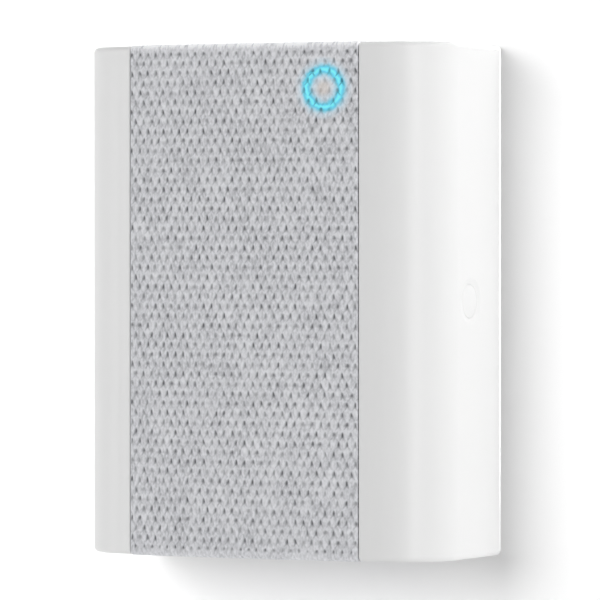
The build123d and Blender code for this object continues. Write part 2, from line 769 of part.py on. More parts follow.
with BuildPart() as grille_fabric:
    with BuildSketch(seen_from_above(-height / 2 - fabric_proud)) as wrap:
        add(band(-seam_gap, -fabric_proud))
        with Locations((band_middle, -fabric_tuck_level)):
            Rectangle(2 * band_width, depth, align=(Align.CENTER, Align.MIN), mode=Mode.SUBTRACT)
    extrude(amount=height + 2 * fabric_proud)
    rounded = grille_fabric.edges().filter_by(GeomType.CIRCLE)
    fillet(rounded.filter_by(lambda edge: abs(edge.center().Z) > height / 2), edge_radius)
    with BuildSketch(seen_from_above(-height / 2 + fabric_inset)):
        add(plan(fabric_inset))
    extrude(amount=height - 2 * fabric_inset, mode=Mode.SUBTRACT)
keep(grille_fabric, "grille_fabric")

# ================================================================ speaker
with BuildPart() as speaker_gasket:
    with BuildSketch(at_level(flange_front)):
        with Locations((speaker_x, speaker_z)):
            RectangleRounded(speaker_flange, speaker_flange, speaker_flange_corner)
            Circle(mouth_radius, mode=Mode.SUBTRACT)
        with speaker_screw_places:
            Circle(small_screw_radius + hole_gap, mode=Mode.SUBTRACT)
    extrude(amount=gasket_thickness)
keep(speaker_gasket, "speaker_gasket")

with BuildPart() as speaker_basket:
    cage_rear = yoke_front - cage_grip
    cage_start = cage_rear - cage_wall
    with BuildSketch(at_level(flange_back)):
        with Locations((speaker_x, speaker_z)):
            RectangleRounded(speaker_flange, speaker_flange, speaker_flange_corner)
            Circle(mouth_radius - cage_wall, mode=Mode.SUBTRACT)
        with speaker_screw_places:
            Circle(small_screw_radius + hole_gap, mode=Mode.SUBTRACT)
    extrude(amount=speaker_flange_thickness)
    with BuildSketch(speaker_section):
        with BuildLine():
            Polyline(
                (mouth_radius - cage_wall, flange_back),
                (mouth_radius, flange_back),
                (mouth_radius, flange_back - cage_wall),
                (cage_rear_radius, cage_start),
                (yoke_radius + fit_gap, cage_start),
                (yoke_radius + fit_gap, cage_rear),
                (cage_rear_radius - cage_wall, cage_rear),
                (mouth_radius - cage_wall, flange_back - cage_wall / 2),
                close=True,
            )
        make_face()
    revolve(axis=speaker_axis)
    with BuildSketch(at_level(cage_start - cage_wall)):
        with Locations((speaker_x, speaker_z)):
            with PolarLocations((cage_rear_radius + mouth_radius) / 2, cage_windows, 180 / cage_windows):
                Rectangle(mouth_radius - cage_rear_radius - 2 * cage_window_margin, cage_window_width)
    extrude(amount=flange_back - cage_start + cage_wall / 2, mode=Mode.SUBTRACT)
keep(speaker_basket, "speaker_basket")

with BuildPart() as magnet_yoke:
    with BuildSketch(at_level(yoke_back)):
        with Locations((speaker_x, speaker_z)):
            Circle(yoke_radius)
    extrude(amount=yoke_depth)
    with BuildSketch(at_level(yoke_back + yoke_base)):
        with Locations((speaker_x, speaker_z)):
            Circle(yoke_bore)
    extrude(amount=yoke_depth, mode=Mode.SUBTRACT)
    chamfer(magnet_yoke.faces().sort_by(Axis.Y)[-1].edges(), yoke_chamfer)
keep(magnet_yoke, "magnet_yoke")

with BuildPart() as speaker_magnet:
    with BuildSketch(at_level(yoke_back + yoke_base)):
        with Locations((speaker_x, speaker_z)):
            Circle(magnet_radius)
    extrude(amount=magnet_thickness)
keep(speaker_magnet, "speaker_magnet")

with BuildPart() as magnet_plate:
    with BuildSketch(at_level(yoke_back + yoke_base + magnet_thickness)):
        with Locations((speaker_x, speaker_z)):
            Circle(magnet_radius + top_plate_lip)
    extrude(amount=top_plate_thickness)
keep(magnet_plate, "magnet_plate")

with BuildPart() as voice_coil:
    with BuildSketch(at_level(coil_back)):
        with Locations((speaker_x, speaker_z)):
            Circle(coil_outer_radius)
            Circle(coil_inner_radius, mode=Mode.SUBTRACT)
    extrude(amount=coil_length)
keep(voice_coil, "voice_coil")

with BuildPart() as speaker_cone:
    with BuildSketch(speaker_section):
        with BuildLine():
            Polyline(
                (coil_inner_radius, coil_front),
                (coil_outer_radius, coil_front),
                (cone_outer_radius, flange_front - cone_wall),
                (cone_outer_radius, flange_front),
                (coil_outer_radius, coil_front + cone_wall),
                (coil_inner_radius, coil_front + cone_wall),
                close=True,
            )
        make_face()
    revolve(axis=speaker_axis)
keep(speaker_cone, "speaker_cone")

with BuildPart() as dust_cap:
    cap_base = coil_front + cone_wall
    cap_sphere = (coil_outer_radius**2 + dust_cap_rise**2) / (2 * dust_cap_rise)
    with BuildSketch(speaker_section):
        with Locations((0, cap_base + dust_cap_rise - cap_sphere)):
            Circle(cap_sphere)
            Circle(cap_sphere - cone_wall, mode=Mode.SUBTRACT)
        with Locations((0, cap_base)):
            Rectangle(coil_outer_radius, 2 * dust_cap_rise, align=(Align.MIN, Align.MIN), mode=Mode.INTERSECT)
    revolve(axis=speaker_axis)
keep(dust_cap, "dust_cap")

with BuildPart() as speaker_surround:
    roll_radius = surround_width / 2
    with BuildSketch(speaker_section):
        with Locations((roll_inner + roll_radius, flange_front)):
            RegularPolygon(roll_radius, 6)
            RegularPolygon(roll_radius - surround_wall, 6, mode=Mode.SUBTRACT)
            Rectangle(surround_width, surround_width, align=(Align.CENTER, Align.MAX), mode=Mode.SUBTRACT)
        for start, end in (
            (roll_inner - surround_skirt, roll_inner + surround_wall),
            (roll_outer - surround_wall, mouth_radius),
        ):
            with Locations((start, flange_front)):
                Rectangle(end - start, surround_wall, align=(Align.MIN, Align.MIN))
    revolve(axis=speaker_axis)
keep(speaker_surround, "speaker_surround")

small_screws(speaker_screw_places, flange_back, speaker_screw_length, "speaker_screws")

with BuildPart() as speaker_leads:
    for x in (speaker_x - lead_pitch / 2, speaker_x + lead_pitch / 2):
        with BuildLine() as lead_route:
            FilletPolyline(
                (x, -flange_back, lead_z),
                (x, -lead_level, lead_z),
                (x, -lead_level, lead_z - lead_run),
                radius=3 * lead_diameter,
            )
        with BuildSketch(Plane(origin=lead_route.line @ 0, z_dir=lead_route.line % 0)):
            RegularPolygon(lead_diameter / 2, 6)
        sweep(path=lead_route.line)
keep(speaker_leads, "speaker_leads")
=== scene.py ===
"""Looks of a plug-in wall chime: a finish for every piece, the knit band, the ring light, lamps and camera.

Metres, in the CAD model's frame. The origin lies on the wall face midway between the plug blades, +X is to
the right seen from the front, +Y points into the wall and +Z is up. A "level" is a distance in front of the
wall.
"""

import json
from math import cos, pi, radians, sin, sqrt

import bmesh
import bpy
import numpy as np
from mathutils import Matrix, Vector


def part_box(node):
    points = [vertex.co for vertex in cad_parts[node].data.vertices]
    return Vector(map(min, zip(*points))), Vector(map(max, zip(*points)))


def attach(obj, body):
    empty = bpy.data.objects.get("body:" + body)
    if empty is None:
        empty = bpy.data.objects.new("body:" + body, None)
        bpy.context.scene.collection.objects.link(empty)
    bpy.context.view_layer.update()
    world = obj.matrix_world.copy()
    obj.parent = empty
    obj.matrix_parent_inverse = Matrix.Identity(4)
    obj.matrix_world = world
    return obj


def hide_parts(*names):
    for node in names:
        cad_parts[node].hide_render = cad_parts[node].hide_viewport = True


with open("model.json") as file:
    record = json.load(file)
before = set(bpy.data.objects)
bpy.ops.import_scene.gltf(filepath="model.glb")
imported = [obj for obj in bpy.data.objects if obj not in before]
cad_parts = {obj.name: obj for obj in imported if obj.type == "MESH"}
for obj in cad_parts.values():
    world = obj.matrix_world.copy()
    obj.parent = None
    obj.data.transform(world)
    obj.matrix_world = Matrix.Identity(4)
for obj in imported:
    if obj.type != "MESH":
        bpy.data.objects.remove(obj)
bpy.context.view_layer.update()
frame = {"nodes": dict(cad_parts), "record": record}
scene = bpy.context.scene
rng = np.random.default_rng(7)
mm = 0.001

# ---------------------------------------------------------------- sizes shared with the CAD model
half_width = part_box("front_housing")[1].x
half_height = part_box("front_housing")[1].z
depth = 25.0 * mm
crown_radius = 250.0 * mm
corner_radius = 8.2 * mm
edge_radius = 0.8 * mm
fabric_proud = 0.1 * mm
weld_reach = 0.001 * mm
dish_radius = 3.55 * mm
dish_depth = 0.42 * mm
cap_radius = 2.54 * mm
cap_dome = 0.19 * mm

bow_level = depth - crown_radius
roll_x = half_width - corner_radius
roll_level = bow_level + sqrt((crown_radius - corner_radius) ** 2 - roll_x**2)
bow_end_slope = roll_x / (crown_radius - corner_radius)
bow_end = crown_radius * bow_end_slope
# how the shading turns sooner than the surface: over the bow's ends, beside the wall and round the lower edge
ease_start = 19.0 * mm
ease_angle = radians(18)
rim_ease_start = 1.8 * mm
rim_ease_angle = radians(14)
lower_ease = 0.35
ring_low, ring_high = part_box("light_guide")
ring_centre = (ring_low + ring_high) / 2
button_low, button_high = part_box("side_button")
button_level = -(button_low.y + button_high.y) / 2

# ---------------------------------------------------------------- materials
# in grains a metre
plastic_drift = 60.0
plastic_grain = 5200.0
copper_cells = 420.0
mask_mottle = 900.0
ring_mottle = 1100.0
fibre_grain = 2600.0
fringe_grain = 2400.0
yarn_patches = 420.0
frost_grain = 1500.0


def feed(node, **inputs):
    """Sets the node's inputs, by name or by place as i0, i1, to constants or to other nodes' sockets."""
    for key, value in inputs.items():
        by_place = key[0] == "i" and key[1:].isdigit()
        socket = node.inputs[int(key[1:]) if by_place else key.replace("_", " ")]
        if isinstance(value, bpy.types.NodeSocket):
            node.id_data.links.new(value, socket)
        else:
            socket.default_value = value


def add(tree, kind, settings=None, **inputs):
    """A new node with these settings and inputs."""
    made = tree.nodes.new(kind)
    for key, value in (settings or {}).items():
        setattr(made, key, value)
    feed(made, **inputs)
    return made


def new_material(name):
    material = bpy.data.materials.new(name)
    material.use_nodes = True
    tree = material.node_tree
    return material, tree, tree.nodes["Principled BSDF"]


def blend_of(tree, factor, low, high):
    """A colour that goes from low to high with the factor's socket."""
    low, high = [(*colour, 1) if isinstance(colour, tuple) else colour for colour in (low, high)]
    return add(tree, "ShaderNodeMix", {"data_type": "RGBA"}, i0=factor, i6=low, i7=high).outputs[2]


def ranged(tree, value, low, high, from_low=0.0, from_high=1.0, smooth=False):
    """The value's socket mapped from one range to another."""
    way = {"interpolation_type": "SMOOTHSTEP" if smooth else "LINEAR"}
    ends = {"From_Min": from_low, "From_Max": from_high, "To_Min": low, "To_Max": high}
    return add(tree, "ShaderNodeMapRange", way, Value=value, **ends).outputs["Result"]


def calc(tree, operation, first, second=0.0):
    return add(tree, "ShaderNodeMath", {"operation": operation}, i0=first, i1=second).outputs[0]


def place_of(tree, stretch=(1, 1, 1)):
    """The point's place on the object, in metres, stretched along the axes."""
    spot = add(tree, "ShaderNodeTexCoord").outputs["Object"]
    return add(tree, "ShaderNodeMapping", Vector=spot, Scale=stretch).outputs[0]


def noise_of(tree, place, scale, detail=2.0):
    return add(tree, "ShaderNodeTexNoise", Vector=place, Scale=scale, Detail=detail).outputs["Fac"]


def attribute_of(tree, key):
    return add(tree, "ShaderNodeAttribute", {"attribute_name": key}).outputs["Fac"]


def bump_of(tree, height, distance, strength=1.0):
    return add(tree, "ShaderNodeBump", Height=height, Distance=distance, Strength=strength).outputs[0]


def grained(name, dark, light, rough, scale, relief=0.0, metal=0.0, stretch=(1, 1, 1)):
    """A finish whose colour, roughness and relief, in metres, follow one grain, in grains a metre."""
    material, tree, shader = new_material(name)
    grain = noise_of(tree, place_of(tree, stretch), scale, detail=3.0)
    colour = blend_of(tree, grain, dark, light)
    feed(shader, Base_Color=colour, Roughness=ranged(tree, grain, *rough), Metallic=metal)
    if relief:
        feed(shader, Normal=bump_of(tree, grain, relief))
    return material


def moulded(name, dark, light, rough):
    """Moulded plastic: a fine spark-eroded grain over a slow, faint drift of its shade."""
    material, tree, shader = new_material(name)
    place = place_of(tree)
    drift = noise_of(tree, place, plastic_drift)
    grain = noise_of(tree, place, plastic_grain, detail=4.0)
    feed(
        shader,
        Base_Color=blend_of(tree, drift, dark, light),
        Roughness=ranged(tree, grain, *rough),
        Normal=bump_of(tree, grain, 0.004 * mm, strength=0.35),
    )
    return material


def board_finish(name):
    """Green solder mask over copper areas that fine gaps divide."""
    material, tree, shader = new_material(name)
    place = place_of(tree)
    cells = {"feature": "DISTANCE_TO_EDGE", "distance": "EUCLIDEAN"}
    edge = add(tree, "ShaderNodeTexVoronoi", cells, Vector=place, Scale=copper_cells).outputs["Distance"]
    gap = ranged(tree, edge, 1.0, 0.0, 0.05, 0.09, smooth=True)
    mottle = noise_of(tree, place, mask_mottle)
    mask = blend_of(tree, mottle, (0.012, 0.10, 0.045), (0.02, 0.14, 0.06))
    feed(
        shader,
        Base_Color=blend_of(tree, gap, mask, (0.03, 0.24, 0.10)),
        Roughness=0.32,
        Normal=bump_of(tree, gap, 0.03 * mm, strength=0.6),
    )
    return material


def wound(name, dark, light, pitch, axis, metal=0.0):
    """Turns of wire or tape lying side by side, pitch apart along the axis."""
    material, tree, shader = new_material(name)
    bands = {"wave_type": "BANDS", "bands_direction": axis, "wave_profile": "SIN"}
    # at scale 1 a wave texture has one band in 2 pi / 20 units
    scale = 2 * pi / 20 / pitch
    wave = add(tree, "ShaderNodeTexWave", bands, Vector=place_of(tree), Scale=scale, Distortion=0.4)
    turns = wave.outputs["Fac"]
    feed(
        shader,
        Base_Color=blend_of(tree, turns, dark, light),
        Roughness=0.35,
        Metallic=metal,
        Normal=bump_of(tree, turns, 0.05 * mm, strength=0.8),
    )
    return material


# the ring's light on the fabric, whose line, body and halo are full up to one distance from the ring's radius
# and gone at another; the warm core's distances are from the ring's centre
glow_radius = 2.80 * mm
glow_wander = 0.18 * mm
line_reach = (0.05 * mm, 0.50 * mm)
body_reach = (0.28 * mm, 1.26 * mm)
halo_reach = (0.7 * mm, 2.2 * mm)
core_reach = (0.4 * mm, 1.5 * mm)
line_light = 0.26
body_light = 0.17
halo_light = 0.08
line_colour = (0.24, 0.94, 1.0)
body_colour = (0.10, 0.76, 1.0)
# what the ring's light does to the yarn's own colour, and how far
loop_tint = (0.10, 0.49, 0.63)
hole_tint = (0.03, 0.16, 0.24)
halo_tint = (0.72, 0.88, 1.0)
core_tint = (0.88, 0.76, 0.64)
body_share = 0.95
halo_share = 0.50
core_share = 0.35
# the yarn, with bright patches, and a painted highlight where the band bends over the top: pale yarn colour
# # and white emission that stand in for the light its raised loops catch
yarn_dark = (0.56, 0.565, 0.59)
yarn_light = (0.86, 0.865, 0.90)
bright_yarn_and_highlight = (0.97, 0.975, 1.0)
# a hole's near-black is partly the dark plate behind the knit and partly painted shade; a crease's grey is
# painted shadow
crease_painted_shadow = (0.34, 0.345, 0.37)
hole_dark_and_painted_shade = (0.07, 0.072, 0.08)
painted_fringe_glow = 0.21


def glow_of(tree):
    """The ring's light on the fabric, each from 0 to 1: its bright line, its body, its halo and its core."""
    spot = add(tree, "ShaderNodeTexCoord").outputs["Object"]
    flat = add(tree, "ShaderNodeVectorMath", {"operation": "MULTIPLY"}, i0=spot, i1=(1, 0, 1)).outputs[0]
    middle = (ring_centre.x, 0, ring_centre.z)
    away = add(tree, "ShaderNodeVectorMath", {"operation": "DISTANCE"}, i0=flat, i1=middle).outputs["Value"]
    uneven = ranged(tree, noise_of(tree, spot, ring_mottle), -glow_wander, glow_wander, 0.25, 0.75)
    off_ring = calc(tree, "ABSOLUTE", calc(tree, "SUBTRACT", calc(tree, "ADD", away, uneven), glow_radius))
    reaches = ((off_ring, line_reach), (off_ring, body_reach), (off_ring, halo_reach), (away, core_reach))
    return [ranged(tree, distance, 1.0, 0.0, *reach, smooth=True) for distance, reach in reaches]


def knit_finish(name):
    """Light grey knit. Its loops are bright and the ring shines through near the top. Its holes are
    near-black, partly the dark plate behind and partly painted shade, its creases carry painted shadow, and a
    painted highlight runs along the upper bend.
    """
    material, tree, shader = new_material(name)
    hole, crease, fringe_highlight = [attribute_of(tree, key) for key in ("hole", "crease", "fringe_highlight")]
    fibre = noise_of(tree, place_of(tree, (1, 1, 0.55)), fibre_grain, detail=3.0)
    patch = noise_of(tree, place_of(tree), yarn_patches)
    across = noise_of(tree, place_of(tree, (1, 0.2, 0.2)), fringe_grain, detail=3.0)
    # painted highlight: streaks of pale yarn and white glow along the upper bend
    painted_fringe_streaks = calc(tree, "MULTIPLY", fringe_highlight, ranged(tree, across, 0.1, 1.0, 0.38, 0.58))
    line, body, halo, core = glow_of(tree)

    yarn = blend_of(tree, ranged(tree, fibre, 0.0, 1.0, 0.32, 0.66), yarn_dark, yarn_light)
    for factor, shade in (
        (ranged(tree, patch, 0.0, 0.4, 0.4, 0.7), bright_yarn_and_highlight),
        (ranged(tree, crease, 0.0, 0.6), crease_painted_shadow),
        (hole, hole_dark_and_painted_shade),
        (painted_fringe_streaks, bright_yarn_and_highlight),
        (calc(tree, "MULTIPLY", halo, halo_share), halo_tint),
        (calc(tree, "MULTIPLY", core, core_share), core_tint),
        (calc(tree, "MULTIPLY", body, body_share), blend_of(tree, hole, loop_tint, hole_tint)),
    ):
        yarn = blend_of(tree, factor, yarn, shade)

    lights = [(body, body_light), (line, line_light), (halo, halo_light)]
    body_part, line_part, halo_part = [calc(tree, "MULTIPLY", share, most) for share, most in lights]
    ring = calc(tree, "ADD", calc(tree, "ADD", body_part, line_part), halo_part)
    # the ring's glow is dimmed in the holes and creases as painted shade
    loops = ranged(tree, calc(tree, "MAXIMUM", hole, crease), 1.0, 0.0, 0.0, 0.8)
    ring = calc(tree, "MULTIPLY", ring, loops)
    cyan = blend_of(tree, line, body_colour, line_colour)
    # the emission is white on the painted highlight and the ring's cyan elsewhere
    feed(
        shader,
        Base_Color=yarn,
        Emission_Color=blend_of(tree, ranged(tree, fringe_highlight, 0.0, 1.0, 0.0, 0.01), cyan, (1.0, 1.0, 1.0)),
        Emission_Strength=calc(tree, "ADD", ring, calc(tree, "MULTIPLY", painted_fringe_streaks, painted_fringe_glow)),
        Roughness=0.95,
        Specular_IOR_Level=0.15,
        Sheen_Weight=0.12,
        Sheen_Roughness=0.5,
        Normal=bump_of(tree, fibre, 0.05 * mm, strength=0.6),
    )
    return material


def light_pipe_finish(name):
    """Frosted light pipe, lit from behind."""
    material, tree, shader = new_material(name)
    frost = noise_of(tree, place_of(tree), frost_grain)
    feed(
        shader,
        Base_Color=blend_of(tree, frost, (0.45, 0.88, 0.95), (0.62, 0.97, 1.0)),
        Emission_Color=blend_of(tree, frost, (0.10, 0.75, 0.95), (0.16, 0.88, 1.0)),
        Emission_Strength=0.8,
        Roughness=0.3,
    )
    return material


# each dark and light shade, roughness from and to, grains a metre, and relief in metres
finishes = {
    "shell": moulded("white_plastic", (0.86, 0.86, 0.858), (0.88, 0.88, 0.878), (0.28, 0.34)),
    "fabric": knit_finish("knit"),
    "guide": light_pipe_finish("light_pipe"),
    "board": board_finish("circuit_board"),
    "black_plastic": moulded("black_plastic", (0.018, 0.018, 0.02), (0.03, 0.03, 0.033), (0.45, 0.6)),
    "metal": grained("nickel_plate", (0.52, 0.52, 0.53), (0.66, 0.66, 0.67), (0.26, 0.4), 900, metal=1.0),
    "blade": grained(
        "plated_brass",
        (0.62, 0.60, 0.56),
        (0.76, 0.74, 0.69),
        (0.18, 0.34),
        1600,
        relief=0.004 * mm,
        metal=1.0,
        stretch=(1, 0.06, 1),
    ),
    "ferrite": grained("ferrite", (0.035, 0.035, 0.04), (0.09, 0.09, 0.10), (0.55, 0.8), 2500, 0.02 * mm),
    "winding": wound("winding_tape", (0.55, 0.34, 0.05), (0.85, 0.62, 0.12), 2.2 * mm, "Z"),
    "coil": wound("copper_wire", (0.35, 0.12, 0.04), (0.78, 0.38, 0.16), 0.16 * mm, "Y", 1.0),
    "foam": grained("soft_foam", (0.02, 0.02, 0.02), (0.06, 0.06, 0.06), (0.85, 1.0), 3500, 0.05 * mm),
    "paper": grained(
        "paper_pulp",
        (0.015, 0.015, 0.016),
        (0.045, 0.045, 0.047),
        (0.7, 0.9),
        1800,
        relief=0.04 * mm,
        stretch=(1, 0.4, 1),
    ),
    "sheet_plastic": grained("insulating_film", (0.62, 0.62, 0.57), (0.74, 0.74, 0.69), (0.3, 0.5), 300),
    "component": grained("component_sleeve", (0.03, 0.03, 0.04), (0.06, 0.07, 0.11), (0.25, 0.4), 500),
    "led": grained("lamp_package", (0.80, 0.86, 0.88), (0.95, 0.98, 0.98), (0.2, 0.35), 2000),
    "lead": grained("wire_sleeve", (0.20, 0.01, 0.01), (0.36, 0.03, 0.02), (0.4, 0.55), 1200),
    "screw": grained(
        "zinc_plate",
        (0.50, 0.50, 0.51),
        (0.64, 0.64, 0.65),
        (0.24, 0.4),
        1500,
        relief=0.003 * mm,
        metal=1.0,
    ),
}
slot_of = {part["node"]: part["material_slot"] for part in frame["record"]["subparts"]}
body_with = {node: body for body, nodes in frame["record"]["behaviour"]["bodies"].items() for node in nodes}
for node, piece in frame["nodes"].items():
    piece.data.materials.clear()
    piece.data.materials.append(finishes[slot_of[node]])


# ---------------------------------------------------------------- making pieces
def stands_for(piece, node, body=None):
    """The piece shows in place of the CAD node, with its finish, on its body unless another is named."""
    if not piece.data.materials:
        piece.data.materials.append(finishes[slot_of[node]])
    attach(piece, body or body_with[node])
    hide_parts(node)
    return piece


def piece_from(name, mesh):
    piece = bpy.data.objects.new(name, mesh)
    scene.collection.objects.link(piece)
    return piece


def smoothed(bm, sharpest):
    """Shades the faces smooth, apart from edges that turn more than sharpest, in degrees."""
    for face in bm.faces:
        face.smooth = True
    for edge in bm.edges:
        edge.smooth = len(edge.link_faces) == 2 and edge.calc_face_angle(pi) < radians(sharpest)


def welded_copy(node, name):
    """The CAD node's surface as a new piece, with its doubled vertices joined."""
    mesh = frame["nodes"][node].data.copy()
    mesh.materials.clear()
    if mesh.has_custom_normals:
        mesh.attributes.remove(mesh.attributes["custom_normal"])
    bm = bmesh.new()
    bm.from_mesh(mesh)
    bmesh.ops.remove_doubles(bm, verts=bm.verts, dist=weld_reach)
    smoothed(bm, 28)
    bm.to_mesh(mesh)
    bm.free()
    return piece_from(name, mesh)


def revolved(name, profile, origin, along, turns=96):
    """A closed round piece. Its profile, (radius, distance along the axis), goes end to end or is a loop."""
    axis = Vector(along)
    side = axis.orthogonal().normalized()
    other = axis.cross(side)
    spots = [side * cos(2 * pi * k / turns) + other * sin(2 * pi * k / turns) for k in range(turns)]
    bm = bmesh.new()
    rings = []
    hollow = profile[0] == profile[-1]
    for radius, run in profile[:-1] if hollow else profile:
        foot = Vector(origin) + axis * run
        if radius == 0:
            rings.append([bm.verts.new(foot)] * turns)
        else:
            rings.append([bm.verts.new(foot + spot * radius) for spot in spots])
    if hollow:
        rings.append(rings[0])
    for before, after in zip(rings, rings[1:]):
        for k in range(turns):
            around = (before[k - 1], before[k], after[k], after[k - 1])
            bm.faces.new(list(dict.fromkeys(around)))
    bmesh.ops.recalc_face_normals(bm, faces=bm.faces)
    smoothed(bm, 40)
    mesh = bpy.data.meshes.new(name)
    bm.to_mesh(mesh)
    bm.free()
    return piece_from(name, mesh)


# ---------------------------------------------------------------- housing
surface_reach = 0.06 * mm
surface_turn = radians(16)
side_reach = 0.01 * mm
side_scores = (rim_ease_start, 1.4 * mm, 1.1 * mm)


def turned(x, nx, nl, turn):
    """The direction turned further towards the side that x is on."""
    angle = np.arctan2(np.abs(nx), nl) + turn
    return np.sign(x) * np.sin(angle), np.cos(angle)


def outline(x, level, eased):
    """Distance inside the body's outline seen from above, and the direction outwards: (inset, nx, nl).

    An eased direction turns from the bow into the corner, so that no line of light shows where the two meet,
    and from each side into the edge at the back, which catches the light as a soft line.
    """
    beside = np.abs(x)
    side = np.sign(x)
    over_bow = level - bow_level
    in_roll = (beside * (roll_level - bow_level) > roll_x * over_bow) & (level > roll_level)
    in_bow = ~in_roll & (level > roll_level)
    bow_reach = np.hypot(x, over_bow)
    roll_reach = np.maximum(np.hypot(beside - roll_x, level - roll_level), 1e-9)
    off_bow, off_roll, off_side = crown_radius - bow_reach, corner_radius - roll_reach, half_width - beside
    inset = np.where(in_bow, off_bow, np.where(in_roll, off_roll, off_side))
    nx = np.where(in_bow, x / bow_reach, np.where(in_roll, side * (beside - roll_x) / roll_reach, side))
    nl = np.where(in_bow, over_bow / bow_reach, np.where(in_roll, (level - roll_level) / roll_reach, 0.0))
    if eased:
        ease_in = np.clip((beside - ease_start) / (bow_end - ease_start), 0, 1) ** 2
        ease_out = np.clip((1 - np.abs(nx)) / (1 - bow_end_slope), 0, 1)
        nx, nl = turned(x, nx, nl, ease_angle * np.where(in_bow, ease_in, np.where(in_roll, ease_out, 0.0)))
    back = (level < edge_radius) & (level < inset)
    corner = (level < edge_radius) & (inset < edge_radius)
    reach = np.maximum(np.hypot(edge_radius - inset, edge_radius - level), 1e-9)
    nx = np.where(corner, side * (edge_radius - inset) / reach, np.where(back, 0.0, nx))
    nl = np.where(corner, -(edge_radius - level) / reach, np.where(back, -1.0, nl))
    inset = np.where(corner, edge_radius - reach, np.where(back, level, inset))
    if eased:
        near_rim = np.clip((rim_ease_start - level) / (rim_ease_start - edge_radius), 0, 1) ** 2
        nx, nl = turned(x, nx, nl, rim_ease_angle * near_rim * np.clip(level / edge_radius, 0, 1))
    return inset, nx, nl


def shell_at(points, eased=False):
    """Distance inside the body's rounded outside, and the direction outwards, at each point."""
    x, level, z = points[:, 0], -points[:, 1], points[:, 2]
    inset, nx, nl = outline(x, level, eased)
    from_end = half_height - np.abs(z)
    across, along = np.maximum(edge_radius - inset, 0), np.maximum(edge_radius - from_end, 0)
    reach = np.maximum(np.hypot(across, along), 1e-9)
    inside = np.where((across > 0) & (along > 0), edge_radius - reach, np.minimum(inset, from_end))
    if eased:
        # the lower edge is shaded more like the walls than its surface is
        along = np.where(z < 0, along * lower_ease, along)
        reach = np.maximum(np.hypot(across, along), 1e-9)
    normal = np.stack([nx * across, -nl * across, np.sign(z) * along], 1) / reach[:, None]
    return inside, normal


def shell_shading(points):
    return shell_at(points, eased=True)


def dish_at(points):
    """The same as shell_at for the round dish that the side button sits in."""
    sphere = (dish_radius**2 + dish_depth**2) / (2 * dish_depth)
    inward = np.array([half_width - dish_depth + sphere, -button_level, 0.0]) - points
    reach = np.linalg.norm(inward, axis=1)
    near = np.hypot(points[:, 1] + button_level, points[:, 2]) < dish_radius
    near = near & (points[:, 0] > half_width - 2 * dish_depth)
    return np.where(near, reach - sphere, 1.0), inward / reach[:, None]


def true_normals(mesh, surfaces):
    """Gives the faces that lie on each true surface the normals of its shading, whatever their triangles."""
    corner_vertex = np.empty(len(mesh.loops), int)
    mesh.loops.foreach_get("vertex_index", corner_vertex)
    first = np.empty(len(mesh.polygons), int)
    count = np.empty(len(mesh.polygons), int)
    mesh.polygons.foreach_get("loop_start", first)
    mesh.polygons.foreach_get("loop_total", count)
    points = np.empty(3 * len(mesh.vertices))
    mesh.vertices.foreach_get("co", points)
    points = points.reshape(-1, 3)
    centres = np.empty(3 * len(mesh.polygons))
    mesh.polygons.foreach_get("center", centres)
    faces = np.empty(3 * len(mesh.polygons))
    mesh.polygons.foreach_get("normal", faces)
    centres, faces = centres.reshape(-1, 3), faces.reshape(-1, 3)
    normals = np.zeros((len(mesh.loops), 3))
    owner = np.repeat(np.arange(len(mesh.polygons)), count)
    for true, shading in surfaces:
        inside, direction = true(centres)
        on_it = (np.abs(inside) < surface_reach) & ((direction * faces).sum(1) > cos(surface_turn))
        normals = np.where(on_it[owner][:, None], shading(points[corner_vertex])[1], normals)
    mesh.normals_split_custom_set(normals.tolist())


def score_sides(mesh, levels):
    """Cuts the flat side walls along lines at these levels, so that their shading can turn there."""
    bm = bmesh.new()
    bm.from_mesh(mesh)
    for level in levels:
        sides = [face for face in bm.faces if abs(face.calc_center_median().x) > half_width - side_reach]
        parts = {part for face in sides for part in (face, *face.edges, *face.verts)}
        across = {"plane_co": (0, -level, 0), "plane_no": (0, 1, 0)}
        bmesh.ops.bisect_plane(bm, geom=list(parts), dist=weld_reach, **across)
    bm.to_mesh(mesh)
    bm.free()


housing = welded_copy("front_housing", "housing_shell")
score_sides(housing.data, side_scores)
true_normals(housing.data, ((shell_at, shell_shading), (dish_at, dish_at)))
stands_for(housing, "front_housing")

# ---------------------------------------------------------------- side button
flange_radius = (button_high.z - button_low.z) / 2
flange_front = half_width - 1.75 * mm
flange_back = flange_front - 0.7 * mm
stem_radius = 1.1 * mm
dome = (cap_radius**2 + cap_dome**2) / (2 * cap_dome)
rim_round = 0.05 * mm
cap_sunk = 0.01 * mm
cap_top = half_width - cap_sunk
dome_steps = [k / 14 * (cap_radius - rim_round) for k in range(15)]
button_profile = [(r, cap_top - (dome - sqrt(dome**2 - r**2))) for r in dome_steps]
rim_top = button_profile[-1][1]
button_profile += [
    (cap_radius - rim_round + rim_round * sin(a), rim_top - rim_round * (1 - cos(a)))
    for a in (radians(20), radians(45), radians(70), radians(90))
]
button_profile += [
    (cap_radius, flange_front),
    (flange_radius, flange_front),
    (flange_radius, flange_back),
    (stem_radius, flange_back),
    (stem_radius, button_low.x),
    (0, button_low.x),
]
button = revolved("button_cap", button_profile, (0, -button_level, 0), (1, 0, 0))
stands_for(button, "side_button")


